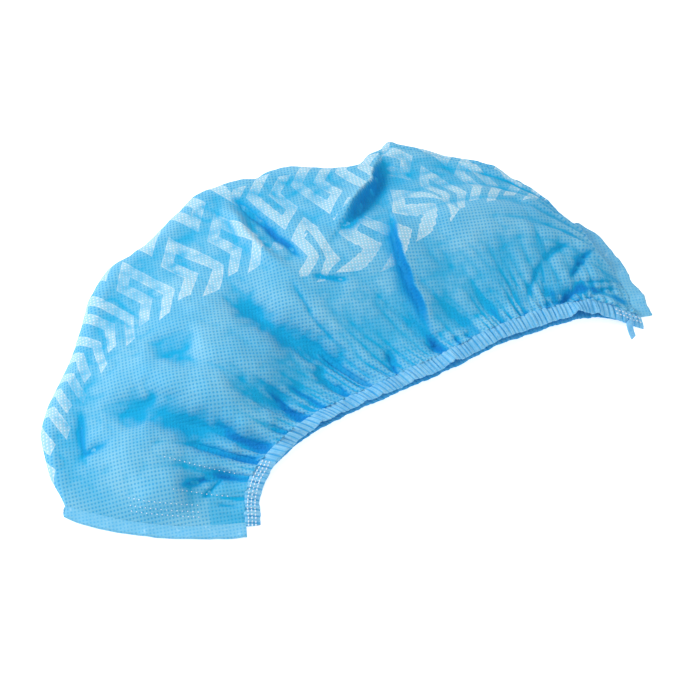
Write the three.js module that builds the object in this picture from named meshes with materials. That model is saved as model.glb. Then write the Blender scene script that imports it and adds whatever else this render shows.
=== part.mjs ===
// Disposable shoe cover, lying on its side. Millimetres, +Z up.
// +X runs along the foot opening from the heel to the toe, +Y points to the sole fold,
// and the opening faces -Y. The sheet is folded along the sole, so it has an upper layer
// and a lower layer, welded together at the heel and at the toe.
import * as THREE from 'three';

const WALL = 1.2;               // thickness of the nonwoven sheet
const PIECE_GAP = 0.3;          // clear space between neighbouring pieces
const HEM_WIDTH = 6;            // height of the gathered elastic band
const HEM_THICKNESS = 1.5;
const HEM_DROOP = 1.6;          // how far the upper band's free edge hangs below its sewn edge
const HEM_RIPPLE = 0.35;        // height of the gathers on the band
const HEM_RIPPLES = 24;         // gathers along one side of the band
const SEAM_THICKNESS = 2.2;     // two welded layers
const HEEL_SEAM_WIDTH = 5;
const TOE_SEAM_WIDTH = 5;
const SEAM_TAPER = 0.25;        // share of a seam's length over which it widens from the sole
const EDGE_SHARE = 0.2;         // share of a layer that goes round the sole edge
const EDGE_ROUND = 0.62;        // depth of the sole edge's round, as a share of its height
const EDGE_LEVEL = 0.45;        // where the sole edge stands out most, as a share of its height

const LENGTH_STEPS = 56;        // facets along the sheet, heel to toe
const LAYER_STEPS = 17;         // facets across each layer, sole to hem
const SLOPE_STEP = 0.004;       // step for working out tangents

const TAB_LENGTH = 6;           // loose end of the hem at the toe
const TAB_WIDTH = 4;
const TAB_STEPS = 4;

const CLOTH_BLUE = 0x6cbde6;
const HEM_BLUE = 0x7fc6ea;
const SEAM_BLUE = 0x74c0e7;

// One row for each section from heel (at 0) to toe (at 1). sole and hem are the plan places of
// the section's two ends, bow is how far it bends towards the heel side midway, edge is the
// height of the puffed sole edge, belly is the extra rise midway and hem is the hem's height.
const SECTIONS = [
  { at: 0.00, soleX: -141, soleY: -2, hemX: -81, hemY: -46, bow: 4, edge: 3.4, belly: 0, hem: 3.4 },
  { at: 0.05, soleX: -139, soleY: 15, hemX: -75, hemY: -35, bow: 3, edge: 12, belly: 2, hem: 5 },
  { at: 0.11, soleX: -133, soleY: 34, hemX: -64, hemY: -27, bow: 1, edge: 18, belly: 4, hem: 8 },
  { at: 0.20, soleX: -110, soleY: 55, hemX: -43, hemY: -21, bow: 0, edge: 22, belly: 5, hem: 10 },
  { at: 0.30, soleX: -84, soleY: 79, hemX: -23, hemY: -20, bow: 0, edge: 24, belly: 5, hem: 10.5 },
  { at: 0.39, soleX: -54, soleY: 88, hemX: -5, hemY: -21, bow: 0, edge: 26, belly: 4, hem: 10.5 },
  { at: 0.48, soleX: -25, soleY: 96, hemX: 13, hemY: -22, bow: 0, edge: 27, belly: 3, hem: 10.5 },
  { at: 0.57, soleX: 7, soleY: 91, hemX: 31, hemY: -23, bow: 0, edge: 28, belly: 2, hem: 10.5 },
  { at: 0.66, soleX: 35, soleY: 79, hemX: 49, hemY: -23, bow: 0, edge: 30, belly: 1, hem: 10.5 },
  { at: 0.74, soleX: 62, soleY: 75, hemX: 65, hemY: -25, bow: 0, edge: 29, belly: 2, hem: 10.5 },
  { at: 0.83, soleX: 85, soleY: 54, hemX: 82, hemY: -28, bow: -2, edge: 24, belly: 2, hem: 10 },
  { at: 0.92, soleX: 101, soleY: 29, hemX: 97, hemY: -33, bow: -4, edge: 17, belly: 2, hem: 8 },
  { at: 1.00, soleX: 111, soleY: 7, hemX: 112, hemY: -46, bow: -4, edge: 3.4, belly: 0, hem: 3.4 },
];

// Main folds of the upper layer, each a straight valley (depth below 0) or ridge (above 0)
// in plan, fading out at its two ends.
const FOLDS = [
  { name: 'heel_valley', fromX: -98, fromY: 28, toX: -40, toY: 2, width: 13, depth: -5 },
  { name: 'long_valley', fromX: -20, fromY: 62, toX: 26, toY: -12, width: 8, depth: -4 },
  { name: 'middle_puff', fromX: -20, fromY: 24, toX: -4, toY: 10, width: 14, depth: 3 },
  { name: 'heel_puff', fromX: -108, fromY: 8, toX: -84, toY: -14, width: 12, depth: 3 },
  { name: 'sole_notch', fromX: -12, fromY: 88, toX: 2, toY: 62, width: 6, depth: -4 },
  { name: 'flap_ridge', fromX: 52, fromY: 74, toX: 30, toY: 40, width: 7, depth: 4 },
  { name: 'panel_ridge', fromX: 52, fromY: 44, toX: 52, toY: -8, width: 7, depth: 3.5 },
  { name: 'toe_crease', fromX: 92, fromY: 4, toX: 80, toY: -20, width: 6, depth: -3 },
];
const FOLD_FADE = 0.3;          // share of a fold's length over which each end fades

const mix = (a, b, t) => a + (b - a) * t;
const smooth = (t) => t * t * (3 - 2 * t);
const clamp01 = (t) => Math.min(1, Math.max(0, t));

// Slope of a column at a row of the table, from the rows on both sides.
function slopeAt(row, name) {
  const before = SECTIONS[Math.max(0, row - 1)];
  const after = SECTIONS[Math.min(SECTIONS.length - 1, row + 1)];
  return (after[name] - before[name]) / (after.at - before.at);
}

// Value of a column at any place along the sheet, as a smooth curve through the rows.
function column(name, at) {
  let row = 0;
  while (row < SECTIONS.length - 2 && at > SECTIONS[row + 1].at) row += 1;
  const low = SECTIONS[row];
  const high = SECTIONS[row + 1];
  const span = high.at - low.at;
  const t = (at - low.at) / span;
  const start = (1 + 2 * t) * (1 - t) * (1 - t) * low[name];
  const end = t * t * (3 - 2 * t) * high[name];
  const startSlope = t * (1 - t) * (1 - t) * span * slopeAt(row, name);
  const endSlope = t * t * (t - 1) * span * slopeAt(row + 1, name);
  return start + end + startSlope + endSlope;
}

// Rise or dip of the upper layer that the folds give at a plan point.
function foldHeight(x, y) {
  let height = 0;
  for (const fold of FOLDS) {
    const runX = fold.toX - fold.fromX;
    const runY = fold.toY - fold.fromY;
    const along = ((x - fold.fromX) * runX + (y - fold.fromY) * runY) / (runX * runX + runY * runY);
    const t = clamp01(along);
    const away = Math.hypot(x - fold.fromX - runX * t, y - fold.fromY - runY * t) / fold.width;
    const fade = smooth(clamp01(Math.min(t, 1 - t) / FOLD_FADE + 0.4));
    height += fold.depth * fade * Math.exp(-away * away);
  }
  return height;
}

// Outer surface of the sheet: at runs 0 to 1 from heel to toe, and across runs from -1 at the
// lower hem, through 0 at the sole edge, to 1 at the upper hem.
function outside(at, across) {
  const soleX = column('soleX', at);
  const soleY = column('soleY', at);
  const chordX = column('hemX', at) - soleX;
  const chordY = column('hemY', at) - soleY;
  const chord = Math.hypot(chordX, chordY);
  const edge = column('edge', at);
  const round = edge * EDGE_ROUND;
  const away = Math.abs(across);
  const level = edge * EDGE_LEVEL;
  let inward;
  let z;
  if (away < EDGE_SHARE) {
    const angle = (away / EDGE_SHARE) * Math.PI / 2;
    inward = round * (1 - Math.cos(angle));
    z = across < 0 ? level * (1 - Math.sin(angle)) : level + (edge - level) * Math.sin(angle);
  } else {
    const past = (away - EDGE_SHARE) / (1 - EDGE_SHARE);
    inward = round + (chord - round) * past;
    const belly = column('belly', at) * Math.sin(Math.PI * past) ** 2;
    z = across < 0 ? 0 : mix(edge, column('hem', at), smooth(past)) + belly;
  }
  const share = inward / chord;
  const bend = column('bow', at) * 4 * share * (1 - share);
  const x = soleX + chordX * share + (chordY / chord) * bend;
  const y = soleY + chordY * share - (chordX / chord) * bend;
  if (across > 0) {
    const body = smooth(clamp01(across / EDGE_SHARE)) * smooth(clamp01((1 - across) / EDGE_SHARE));
    const ends = smooth(clamp01(Math.min(at, 1 - at) / 0.08));
    z += foldHeight(x, y) * body * ends;
  }
  return new THREE.Vector3(x, y, z);
}

// Unit direction across the sheet, towards a larger across.
function crossDirection(at, across) {
  const low = Math.max(-1, across - SLOPE_STEP);
  const high = Math.min(1, across + SLOPE_STEP);
  return outside(at, high).sub(outside(at, low)).normalize();
}

// Unit direction along the sheet, from heel to toe.
function lengthDirection(at, across) {
  const low = Math.max(0, at - SLOPE_STEP);
  const high = Math.min(1, at + SLOPE_STEP);
  return outside(high, across).sub(outside(low, across)).normalize();
}

// Unit normal that points out of the bag.
function outward(at, across) {
  return crossDirection(at, across).cross(lengthDirection(at, across)).normalize();
}

// Closed body from a list of corner points and a list of quads, with its faces pointing out.
function bodyFrom(points, quads) {
  const triangles = [];
  for (const [a, b, c, d] of quads) triangles.push([a, b, c], [a, c, d]);
  let volume = 0;
  for (const [a, b, c] of triangles) {
    volume += points[a].dot(new THREE.Vector3().crossVectors(points[b], points[c]));
  }
  const index = volume < 0 ? triangles.map(([a, b, c]) => [a, c, b]) : triangles;
  const geometry = new THREE.BufferGeometry().setFromPoints(points);
  geometry.setIndex(index.flat());
  geometry.computeVertexNormals();
  return geometry;
}

// Closed body between two grids of points, grid[row][place], joined round their border.
function bodyBetween(outer, inner) {
  const rows = outer.length;
  const places = outer[0].length;
  const points = [...outer.flat(), ...inner.flat()];
  const top = (row, place) => row * places + place;
  const under = (row, place) => rows * places + row * places + place;
  const quads = [];
  for (let row = 0; row < rows - 1; row += 1) {
    for (let place = 0; place < places - 1; place += 1) {
      const next = [row + 1, place + 1];
      quads.push([top(row, place), top(next[0], place), top(...next), top(row, next[1])]);
      quads.push([under(row, place), under(row, next[1]), under(...next), under(next[0], place)]);
    }
    for (const [place, flip] of [[0, false], [places - 1, true]]) {
      const wall = [top(row, place), under(row, place), under(row + 1, place), top(row + 1, place)];
      quads.push(flip ? wall.reverse() : wall);
    }
  }
  for (let place = 0; place < places - 1; place += 1) {
    for (const [row, flip] of [[0, true], [rows - 1, false]]) {
      const wall = [top(row, place), under(row, place), under(row, place + 1), top(row, place + 1)];
      quads.push(flip ? wall.reverse() : wall);
    }
  }
  return bodyFrom(points, quads);
}

// Closed body through four-cornered sections, either capped at both ends or joined in a ring.
function bodyThrough(sections, ring) {
  const points = sections.flat();
  const quads = [];
  const joints = ring ? sections.length : sections.length - 1;
  for (let step = 0; step < joints; step += 1) {
    const here = step * 4;
    const next = ((step + 1) % sections.length) * 4;
    for (let side = 0; side < 4; side += 1) {
      const turn = (side + 1) % 4;
      quads.push([here + side, here + turn, next + turn, next + side]);
    }
  }
  if (!ring) {
    const last = (sections.length - 1) * 4;
    quads.push([3, 2, 1, 0], [last, last + 1, last + 2, last + 3]);
  }
  return bodyFrom(points, quads);
}

function coverGeometry() {
  const outer = [];
  const inner = [];
  for (let step = 0; step <= LENGTH_STEPS; step += 1) {
    const at = step / LENGTH_STEPS;
    const outerRow = [];
    const innerRow = [];
    for (let place = -LAYER_STEPS; place <= LAYER_STEPS; place += 1) {
      const across = place / LAYER_STEPS;
      const point = outside(at, across);
      outerRow.push(point);
      innerRow.push(point.clone().addScaledVector(outward(at, across), -WALL));
    }
    outer.push(outerRow);
    inner.push(innerRow);
  }
  return bodyBetween(outer, inner);
}

// Section of the hem band at one place: sewn edge and free edge, outside and inside.
function hemSection(at, across) {
  const side = Math.sign(across);
  const run = crossDirection(at, across).multiplyScalar(side);
  const normal = outward(at, across);
  const ripple = HEM_RIPPLE * (1 + Math.sin(at * HEM_RIPPLES * 2 * Math.PI)) * Math.max(0, side);
  const sewn = outside(at, across).addScaledVector(run, PIECE_GAP);
  const free = sewn.clone().addScaledVector(run, HEM_WIDTH);
  if (side > 0) free.z = Math.max(HEM_THICKNESS * 2 + 0.6, free.z - HEM_DROOP);
  if (side < 0) free.z = sewn.z;
  return [
    sewn.clone().addScaledVector(normal, ripple),
    sewn.clone().addScaledVector(normal, -HEM_THICKNESS),
    free.clone().addScaledVector(normal, -HEM_THICKNESS),
    free.clone().addScaledVector(normal, ripple),
  ];
}

// The band's turn at the heel or the toe, where its outer face looks along the sheet.
function hemTurn(at) {
  const upper = hemSection(at, 1);
  const lower = hemSection(at, -1);
  const middle = upper.map((corner, i) => corner.clone().add(lower[i]).multiplyScalar(0.5));
  const along = lengthDirection(at, 0.98).multiplyScalar(at < 0.5 ? -1 : 1).setZ(0).normalize();
  const reach = [HEM_THICKNESS, 0.2, 0.2, HEM_THICKNESS];
  return middle.map((corner, i) => corner.addScaledVector(along, reach[i]));
}

function hemGeometry() {
  const sections = [];
  const steps = HEM_RIPPLES * 4;
  for (let step = 0; step <= steps; step += 1) sections.push(hemSection(step / steps, 1));
  sections.push(hemTurn(1));
  for (let step = LENGTH_STEPS; step >= 0; step -= 1) {
    sections.push(hemSection(step / LENGTH_STEPS, -1));
  }
  sections.push(hemTurn(0));
  return bodyThrough(sections, true);
}

// A flat welded strip beyond one end of the sheet, from the sole corner to the hem.
function seamGeometry(at, width) {
  const steps = 16;
  const sections = [];
  for (let step = 0; step <= steps; step += 1) {
    const share = step / steps;
    const across = mix(0.02, 0.98, share);
    const reach = width * mix(0.3, 1, smooth(clamp01(share / SEAM_TAPER)));
    const along = lengthDirection(at, across).setZ(0).normalize();
    const row = crossDirection(at, across).setZ(0).normalize();
    const side = new THREE.Vector3(row.y, -row.x, 0);
    if (side.dot(along) * (at < 0.5 ? -1 : 1) < 0) side.negate();
    const near = outside(at, across).setZ(0).addScaledVector(side, PIECE_GAP);
    const far = near.clone().addScaledVector(side, reach);
    const lift = new THREE.Vector3(0, 0, SEAM_THICKNESS);
    sections.push([near, far, far.clone().add(lift), near.clone().add(lift)]);
  }
  return bodyThrough(sections, false);
}

// The loose end of the hem, a short strip that leaves the toe end of the band and droops.
function tabGeometry() {
  const corner = hemSection(0.97, 1)[3];
  const start = new THREE.Vector3(corner.x, corner.y - PIECE_GAP * 2, SEAM_THICKNESS * 2);
  const sections = [];
  for (let step = 0; step <= TAB_STEPS; step += 1) {
    const share = step / TAB_STEPS;
    const x = start.x - TAB_LENGTH * 0.25 * share;
    const y = start.y - TAB_LENGTH * share;
    const z = start.z - (start.z - 0.4) * share * share;
    sections.push([
      new THREE.Vector3(x, y, z),
      new THREE.Vector3(x + TAB_WIDTH, y, z),
      new THREE.Vector3(x + TAB_WIDTH, y, z + WALL),
      new THREE.Vector3(x, y, z + WALL),
    ]);
  }
  return bodyThrough(sections, false);
}

function piece(name, geometry, color) {
  const material = new THREE.MeshStandardMaterial({ color, roughness: 0.75, metalness: 0 });
  const mesh = new THREE.Mesh(geometry, material);
  mesh.name = name;
  return mesh;
}

const group = new THREE.Group();
group.add(
  piece('cover', coverGeometry(), CLOTH_BLUE),
  piece('opening_hem', hemGeometry(), HEM_BLUE),
  piece('heel_seam', seamGeometry(0, HEEL_SEAM_WIDTH), SEAM_BLUE),
  piece('toe_seam', seamGeometry(1, TOE_SEAM_WIDTH), SEAM_BLUE),
  piece('elastic_tab', tabGeometry(), HEM_BLUE),
);

// The origin is at the middle of the whole cover's box, on the surface that it lies on.
const box = new THREE.Box3().setFromObject(group);
const middle = box.getCenter(new THREE.Vector3());
group.position.set(-middle.x, -middle.y, -box.min.z);

export default group;
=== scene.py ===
"""Looks of a disposable nonwoven shoe cover lying on its side. Metres, +Z up; sizes in mm."""
import math

import bmesh
import bpy
import numpy as np
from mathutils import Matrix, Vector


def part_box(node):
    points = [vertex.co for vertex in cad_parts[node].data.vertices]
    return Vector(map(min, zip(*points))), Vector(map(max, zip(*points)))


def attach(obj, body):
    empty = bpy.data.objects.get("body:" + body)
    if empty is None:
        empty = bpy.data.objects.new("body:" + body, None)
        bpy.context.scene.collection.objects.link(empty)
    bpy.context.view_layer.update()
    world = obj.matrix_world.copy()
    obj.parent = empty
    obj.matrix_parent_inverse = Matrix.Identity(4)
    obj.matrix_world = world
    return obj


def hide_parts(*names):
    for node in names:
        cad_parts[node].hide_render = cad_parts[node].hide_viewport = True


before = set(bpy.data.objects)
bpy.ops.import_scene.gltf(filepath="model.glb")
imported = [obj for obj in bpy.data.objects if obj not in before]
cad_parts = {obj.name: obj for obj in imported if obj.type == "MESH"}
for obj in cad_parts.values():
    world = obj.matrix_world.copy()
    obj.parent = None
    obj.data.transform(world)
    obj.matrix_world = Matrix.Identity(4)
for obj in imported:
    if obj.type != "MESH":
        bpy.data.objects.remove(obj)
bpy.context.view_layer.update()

MM = 0.001
TAU = 2 * math.pi

# ---------------------------------------------------------------- sizes, in millimetres
WALL = 0.7                 # thickness of the nonwoven
HEM_WIDTH = 6.0
HEM_THICKNESS = 1.5
HEEL_SEAM_WIDTH = 5.0
TOE_SEAM_WIDTH = 5.0
SEAM_THICKNESS = 1.2
EDGE_SHARE = 0.2           # share of a layer that goes round the sole edge
EDGE_ROUND = 0.62
EDGE_LEVEL = 0.45
LENGTH_STEPS = 460         # steps along the sheet, heel to toe
UPPER_STEPS = 146          # steps across the upper layer
LOWER_STEPS = 34
INNER_SKIP = 5             # the inner face is this much coarser
BOND_PITCH = 1.45          # spacing of the bond points
PRINT_PITCH = 22.8         # spacing of the tread marks

# One row for each section from heel (at 0) to toe (at 1), as the sheet's construction has it.
# sole and hem are the plan places of the section's ends, bow is its bend towards the heel side,
# edge is the height of the puffed sole edge, belly the extra rise midway, hem the hem's height.
SECTION_COLUMNS = ("at", "sole_x", "sole_y", "hem_x", "hem_y", "bow", "edge", "belly", "hem")
SECTIONS = (
    (0.00, -141, -2, -81, -46, 4, 1.9, 0, 1.9),
    (0.05, -139, 15, -75, -35, 3, 7, 5, 5),
    (0.11, -133, 35, -64, -27, 1, 10, 8, 8),
    (0.20, -111, 56, -43, -21, 0, 12, 10, 10),
    (0.30, -85, 81, -23, -20, 0, 12, 12, 10.5),
    (0.39, -55, 91, -5, -21, 0, 13, 12, 10.5),
    (0.48, -25, 100, 13, -22, 0, 13, 12, 10.5),
    (0.57, 8, 95, 31, -23, 0, 13, 12, 10.5),
    (0.66, 36, 83, 49, -23, 0, 14, 11, 10.5),
    (0.74, 64, 79, 65, -25, 0, 14, 11, 10.5),
    (0.83, 88, 57, 82, -28, -2, 12, 10, 10),
    (0.92, 104, 31, 97, -33, -4, 9, 6, 8),
    (1.00, 111, 7, 112, -46, -4, 1.9, 0, 1.9),
)
COLUMN = {name: np.array([row[i] for row in SECTIONS], float) for i, name in enumerate(SECTION_COLUMNS)}

# The printed band as the folds divide it: name, outline of the patch on the unrolled sheet,
# line that the first row's corners lie on, how far along it a corner lies, and scale.
PRINT_PATCHES = (
    ("flap", ((5, 30), (26, 30), (34, 32), (46, 38), (62, 48), (71, 66), (72, 110), (-6, 110), (-3, 72), (1, 55)),
     ((-41.7, 53.2), (36.5, 35.8), (94, 23)), 40.0, 0.9),
    ("toe", ((1, -60), (0, 12), (5, 30), (26, 30), (34, 32), (46, 38), (62, 48), (71, 66), (72, 110), (160, 110),
             (160, -60)),
     ((-40, 52), (-8, 46), (18, 38), (34, 32), (52, 33), (70, 40), (96, 38), (130, 28)), 60.2, 0.9),
    ("heel", None, ((-168, -2), (-148, 22), (-126, 42), (-104, 54), (-82, 60.5), (-60, 63), (-36, 63.5),
                    (-15, 64), (40, 62)), 131.5, 1.0),
)

# Bumps and notches of the sole edge: at, push outwards, half width as a share of the length.
OUTLINE = (
    ("heel_flat", 0.25, -1.5, 0.03),
    ("heel_point", 0.335, 2.0, 0.02),
    ("shoulder", 0.475, 1.5, 0.02),
    ("notch", 0.545, -3.0, 0.012),
    ("hump", 0.60, 1.5, 0.02),
    ("dip", 0.675, -4.0, 0.018),
    ("peak", 0.732, 4.0, 0.012),
    ("fall", 0.80, -1.0, 0.03),
    ("toe_ridge_a", 0.865, 2.0, 0.010),
    ("toe_dent_a", 0.888, -1.6, 0.008),
    ("toe_ridge_b", 0.910, 2.4, 0.009),
    ("toe_dent_b", 0.931, -1.8, 0.007),
    ("toe_ridge_c", 0.950, 2.2, 0.008),
    ("toe_dent_c", 0.968, -1.6, 0.006),
)

# Folds of the upper layer: name, kind, height (below 0 is a valley), half width, plan route.
# kind soft is a round fold, crease a sharp one, step a lap that is high on its left side.
FOLDS = (
    ("heel_valley", "soft", -6.0, 9.0, ((-101, -1), (-83, -7), (-74, -19), (-58, -37))),
    ("heel_valley_tip", "crease", -2.6, 3.0, ((-62, -26), (-56, -34), (-49, -41), (-42, -47))),
    ("heel_crease", "crease", -2.4, 2.4, ((-74, -29), (-60, -41), (-48, -48))),
    ("heel_corner", "crease", -1.6, 3.0, ((-107, 10), (-114, -10), (-101, -11))),
    ("side_crease", "crease", -2.6, 2.4, ((-87, -41), (-69, -46), (-60, -51))),
    ("side_thin", "crease", -1.2, 1.2, ((-80, -50), (-68, -47))),
    ("seam_fold", "crease", -1.0, 1.6, ((-131, -24), (-117, -39), (-109, -47), (-98, -50), (-87, -51))),
    ("tuck_a", "crease", -1.4, 1.0, ((-77, -54), (-68, -60))),
    ("tuck_b", "crease", -1.2, 1.0, ((-78, -58), (-71, -63))),
    ("tuck_c", "crease", -1.0, 0.8, ((-80, -63), (-73, -67))),
    ("long_valley", "soft", -5.5, 7.0, ((-30, 26), (-20, 0), (-8, -20), (0, -34))),
    ("long_crease", "crease", -3.0, 2.2, ((-8, -20), (1, -36), (6, -48))),
    ("crease_h", "crease", -2.4, 2.2, ((19, -30), (16, -41), (18, -49))),
    ("crease_i", "crease", -1.8, 1.4, ((12, -41), (13, -49))),
    ("crease_j", "crease", -2.4, 1.8, ((-8, -33), (-7, -40), (-4, -47))),
    ("crease_k", "soft", -2.2, 3.0, ((-12, -22), (-12, -29), (-8, -38))),
    ("crease_l", "crease", -3.2, 2.6, ((-36, -22), (-31, -35), (-27, -40), (-22, -46))),
    ("crease_m", "crease", -2.2, 2.0, ((-28, -24), (-21, -34), (-18, -42), (-15, -47))),
    ("crease_n", "crease", -1.6, 1.4, ((-42, -37), (-37, -44))),
    ("crease_q", "crease", -3.4, 2.6, ((36, -34), (37, -42), (38, -50))),
    ("crease_r", "crease", -2.6, 1.6, ((46, -39), (45, -47), (50, -51))),
    ("crease_s", "crease", -2.2, 1.4, ((50, -40), (52, -46), (55, -52))),
    ("crease_t", "crease", -1.6, 1.2, ((54, -43), (58, -48), (60, -53))),
    ("toe_y_stem", "crease", -1.4, 2.0, ((113, -27), (97, -28))),
    ("toe_y_left", "crease", -1.2, 2.0, ((97, -28), (81, -40))),
    ("toe_y_right", "crease", -0.8, 1.6, ((96, -29), (89, -46))),
    ("toe_pocket", "crease", -2.4, 2.2, ((122, -32), (113, -36), (103, -40))),
    ("toe_long", "crease", -3.6, 2.0, ((107, -45), (98, -47), (90, -50), (80, -54))),
    ("toe_x", "crease", -2.0, 1.4, ((103, -50), (94, -53))),
    ("toe_y2", "crease", -2.0, 1.2, ((111, -50), (99, -54))),
    ("toe_y3", "crease", -1.6, 1.0, ((111, -53), (104, -56))),
    ("toe_z", "crease", -2.4, 1.6, ((91, -46), (80, -51))),
    ("toe_aa", "crease", -2.4, 1.6, ((80, -44), (73, -48), (67, -52))),
    ("toe_bb", "crease", -1.8, 1.4, ((66, -43), (69, -49))),
    ("toe_line", "crease", -1.2, 1.4, ((104, -43), (115, -47), (127, -48))),
    ("toe_line_low", "crease", -1.2, 1.4, ((109, -50), (120, -51), (128, -56))),
    ("notch_ridge", "soft", 3.0, 3.0, ((-8, 66), (-9, 43), (-8, 32), (-3, 15))),
    ("notch_valley", "crease", -3.2, 3.4, ((-3, 68), (1, 48), (4, 32), (5, 18))),
    ("panel_end", "crease", -1.2, 2.0, ((4, 10), (18, 1))),
    ("thin_long", "crease", -0.9, 1.5, ((-4, 15), (-4, -5), (3, -26))),
    ("flap_ridge", "step", 5.5, 16.0, ((26, 25), (37, 31), (54, 40), (64, 54))),
    ("panel_ridge", "step", 4.0, 14.0, ((51, 22), (45, 7), (42, -6), (40, -13), (40, -22), (38, -35))),
    ("puff_mid", "soft", 3.0, 12.0, ((-63, -8), (-19, -14))),
    ("puff_heel", "soft", 3.0, 8.0, ((-107, -39), (-83, -46))),
    ("heel_top_valley", "soft", -2.0, 7.0, ((-72, 16), (-50, 6))),
    ("mark_light", "soft", 2.4, 6.0, ((-70, -8), (-49, -32), (-36, -44))),
    ("side_soft", "soft", -1.6, 5.0, ((-70, 13), (-46, -11), (-36, -26))),
)

# Gathers that run up from the hem: how many, how high, how far they reach.
GATHERS = ((13, 3.4, 44.0), (27, 3.0, 26.0), (52, 2.2, 13.0), (98, 1.1, 7.0))
TOE_GATHERS = ((5, 3.6, 34.0), (9, 3.2, 28.0), (17, 1.6, 17.0))


# ---------------------------------------------------------------- the sheet's shape
def smooth(t):
    t = np.clip(t, 0, 1)
    return t * t * (3 - 2 * t)


def column(name, at):
    """Smooth curve through a column of SECTIONS."""
    places, values = COLUMN["at"], COLUMN[name]
    slopes = np.empty_like(values)
    slopes[1:-1] = (values[2:] - values[:-2]) / (places[2:] - places[:-2])
    slopes[0] = (values[1] - values[0]) / (places[1] - places[0])
    slopes[-1] = (values[-1] - values[-2]) / (places[-1] - places[-2])
    row = np.clip(np.searchsorted(places, at, side="right") - 1, 0, len(places) - 2)
    span = places[row + 1] - places[row]
    t = (at - places[row]) / span
    start = (1 + 2 * t) * (1 - t) ** 2 * values[row] + t * (1 - t) ** 2 * span * slopes[row]
    end = t * t * (3 - 2 * t) * values[row + 1] + t * t * (t - 1) * span * slopes[row + 1]
    return start + end


def lattice_noise(x, y, seed):
    """Smooth noise from -1 to 1 on a plane, the same each run."""
    column_x, row_y = np.floor(x), np.floor(y)
    fx, fy = x - column_x, y - row_y
    fx, fy = fx * fx * (3 - 2 * fx), fy * fy * (3 - 2 * fy)

    def corner(i, j):
        value = np.sin((column_x + i) * 127.1 + (row_y + j) * 311.7 + seed * 74.7) * 43758.5453
        return 2 * (value - np.floor(value)) - 1

    low = corner(0, 0) * (1 - fx) + corner(1, 0) * fx
    high = corner(0, 1) * (1 - fx) + corner(1, 1) * fx
    return low * (1 - fy) + high * fy


def base_surface(at, across):
    """Outer face without folds: across is -1 at the lower hem, 0 at the sole, 1 at the upper hem."""
    sole_x, sole_y = column("sole_x", at), column("sole_y", at)
    chord_x, chord_y = column("hem_x", at) - sole_x, column("hem_y", at) - sole_y
    chord = np.hypot(chord_x, chord_y)
    edge = column("edge", at)
    away = np.abs(across)
    level = edge * EDGE_LEVEL
    angle = np.minimum(away / EDGE_SHARE, 1) * math.pi / 2
    past = np.clip((away - EDGE_SHARE) / (1 - EDGE_SHARE), 0, 1)
    turn = edge * EDGE_ROUND
    inward = turn * (1 - np.cos(angle)) + (chord - turn) * past
    upper = level + (edge - level) * np.sin(angle)
    upper = upper + (column("hem", at) - edge) * smooth(past)
    upper = upper + column("belly", at) * np.sin(math.pi * past) ** 2
    lower = level * (1 - np.sin(angle))
    z = np.where(across < 0, lower, upper)
    push = sum(rise * np.exp(-((at - place) / wide) ** 2) for _, place, rise, wide in OUTLINE)
    inward = inward - push * np.exp(-(away / 0.22) ** 2)
    share = inward / chord
    bend = column("bow", at) * 4 * share * (1 - share)
    x = sole_x + chord_x * share + chord_y / chord * bend
    y = sole_y + chord_y * share - chord_x / chord * bend
    return np.stack([x, y, z], -1)


def grid_normals(points):
    """Unit normals of a grid of points, grid[length][across], out of the bag."""
    along = np.gradient(points, axis=0)
    over = np.gradient(points, axis=1)
    normal = np.cross(over, along)
    return normal / np.maximum(np.linalg.norm(normal, axis=-1, keepdims=True), 1e-9)


def route_distance(x, y, route):
    """Signed distance to a route, its left side being above 0, and the share along it."""
    best = np.full(x.shape, 1e9)
    side = np.zeros(x.shape)
    share = np.zeros(x.shape)
    lengths = [math.dist(a, b) for a, b in zip(route, route[1:])]
    gone = 0.0
    for (ax, ay), (bx, by), length in zip(route, route[1:], lengths):
        dx, dy = (bx - ax) / length, (by - ay) / length
        t = np.clip((x - ax) * dx + (y - ay) * dy, 0, length)
        off_x, off_y = x - ax - dx * t, y - ay - dy * t
        distance = np.hypot(off_x, off_y)
        near = distance < best
        best = np.where(near, distance, best)
        side = np.where(near, np.sign(dx * off_y - dy * off_x), side)
        share = np.where(near, (gone + t) / sum(lengths), share)
        gone += length
    return best * side, share


def fold_relief(x, y):
    """Rise of the upper layer by its folds, and how deep in a crease each point is, which the materials paint as
    darker shade; a step also adds painted shadow on its low side.
    """
    rise = np.zeros(x.shape)
    crease = np.zeros(x.shape)
    wander = 0.8 * lattice_noise(x / 9, y / 9, 3) + 0.4 * lattice_noise(x / 3.5, y / 3.5, 5)
    for _, kind, height, wide, route in FOLDS:
        distance, share = route_distance(x, y, route)
        distance = distance + wander * min(1.0, wide / 3)
        fade = smooth(np.minimum(share, 1 - share) / 0.3 * 0.8 + 0.2)
        if kind == "soft":
            form = np.exp(-(distance / wide) ** 2)
            crease += max(0.0, -height) / 6 * 0.15 * form * fade
        elif kind == "crease":
            blunt = 0.22 * wide
            form = np.exp(-(np.sqrt(distance ** 2 + blunt ** 2) - blunt) / wide)
            crease += max(0.0, -height) / 2.0 * form ** 3 * fade
        else:
            form = smooth(distance / 2.4 + 0.5) * np.exp(-np.maximum(distance, 0) / wide)
            # painted shadow: the lap's low side, under its high edge, is marked to be darker
            crease += 1.1 * np.exp(-(np.minimum(distance, 0) / 5.0) ** 2) * smooth(1.4 - distance) * fade
        rise += height * form * fade
    return rise, crease


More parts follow.
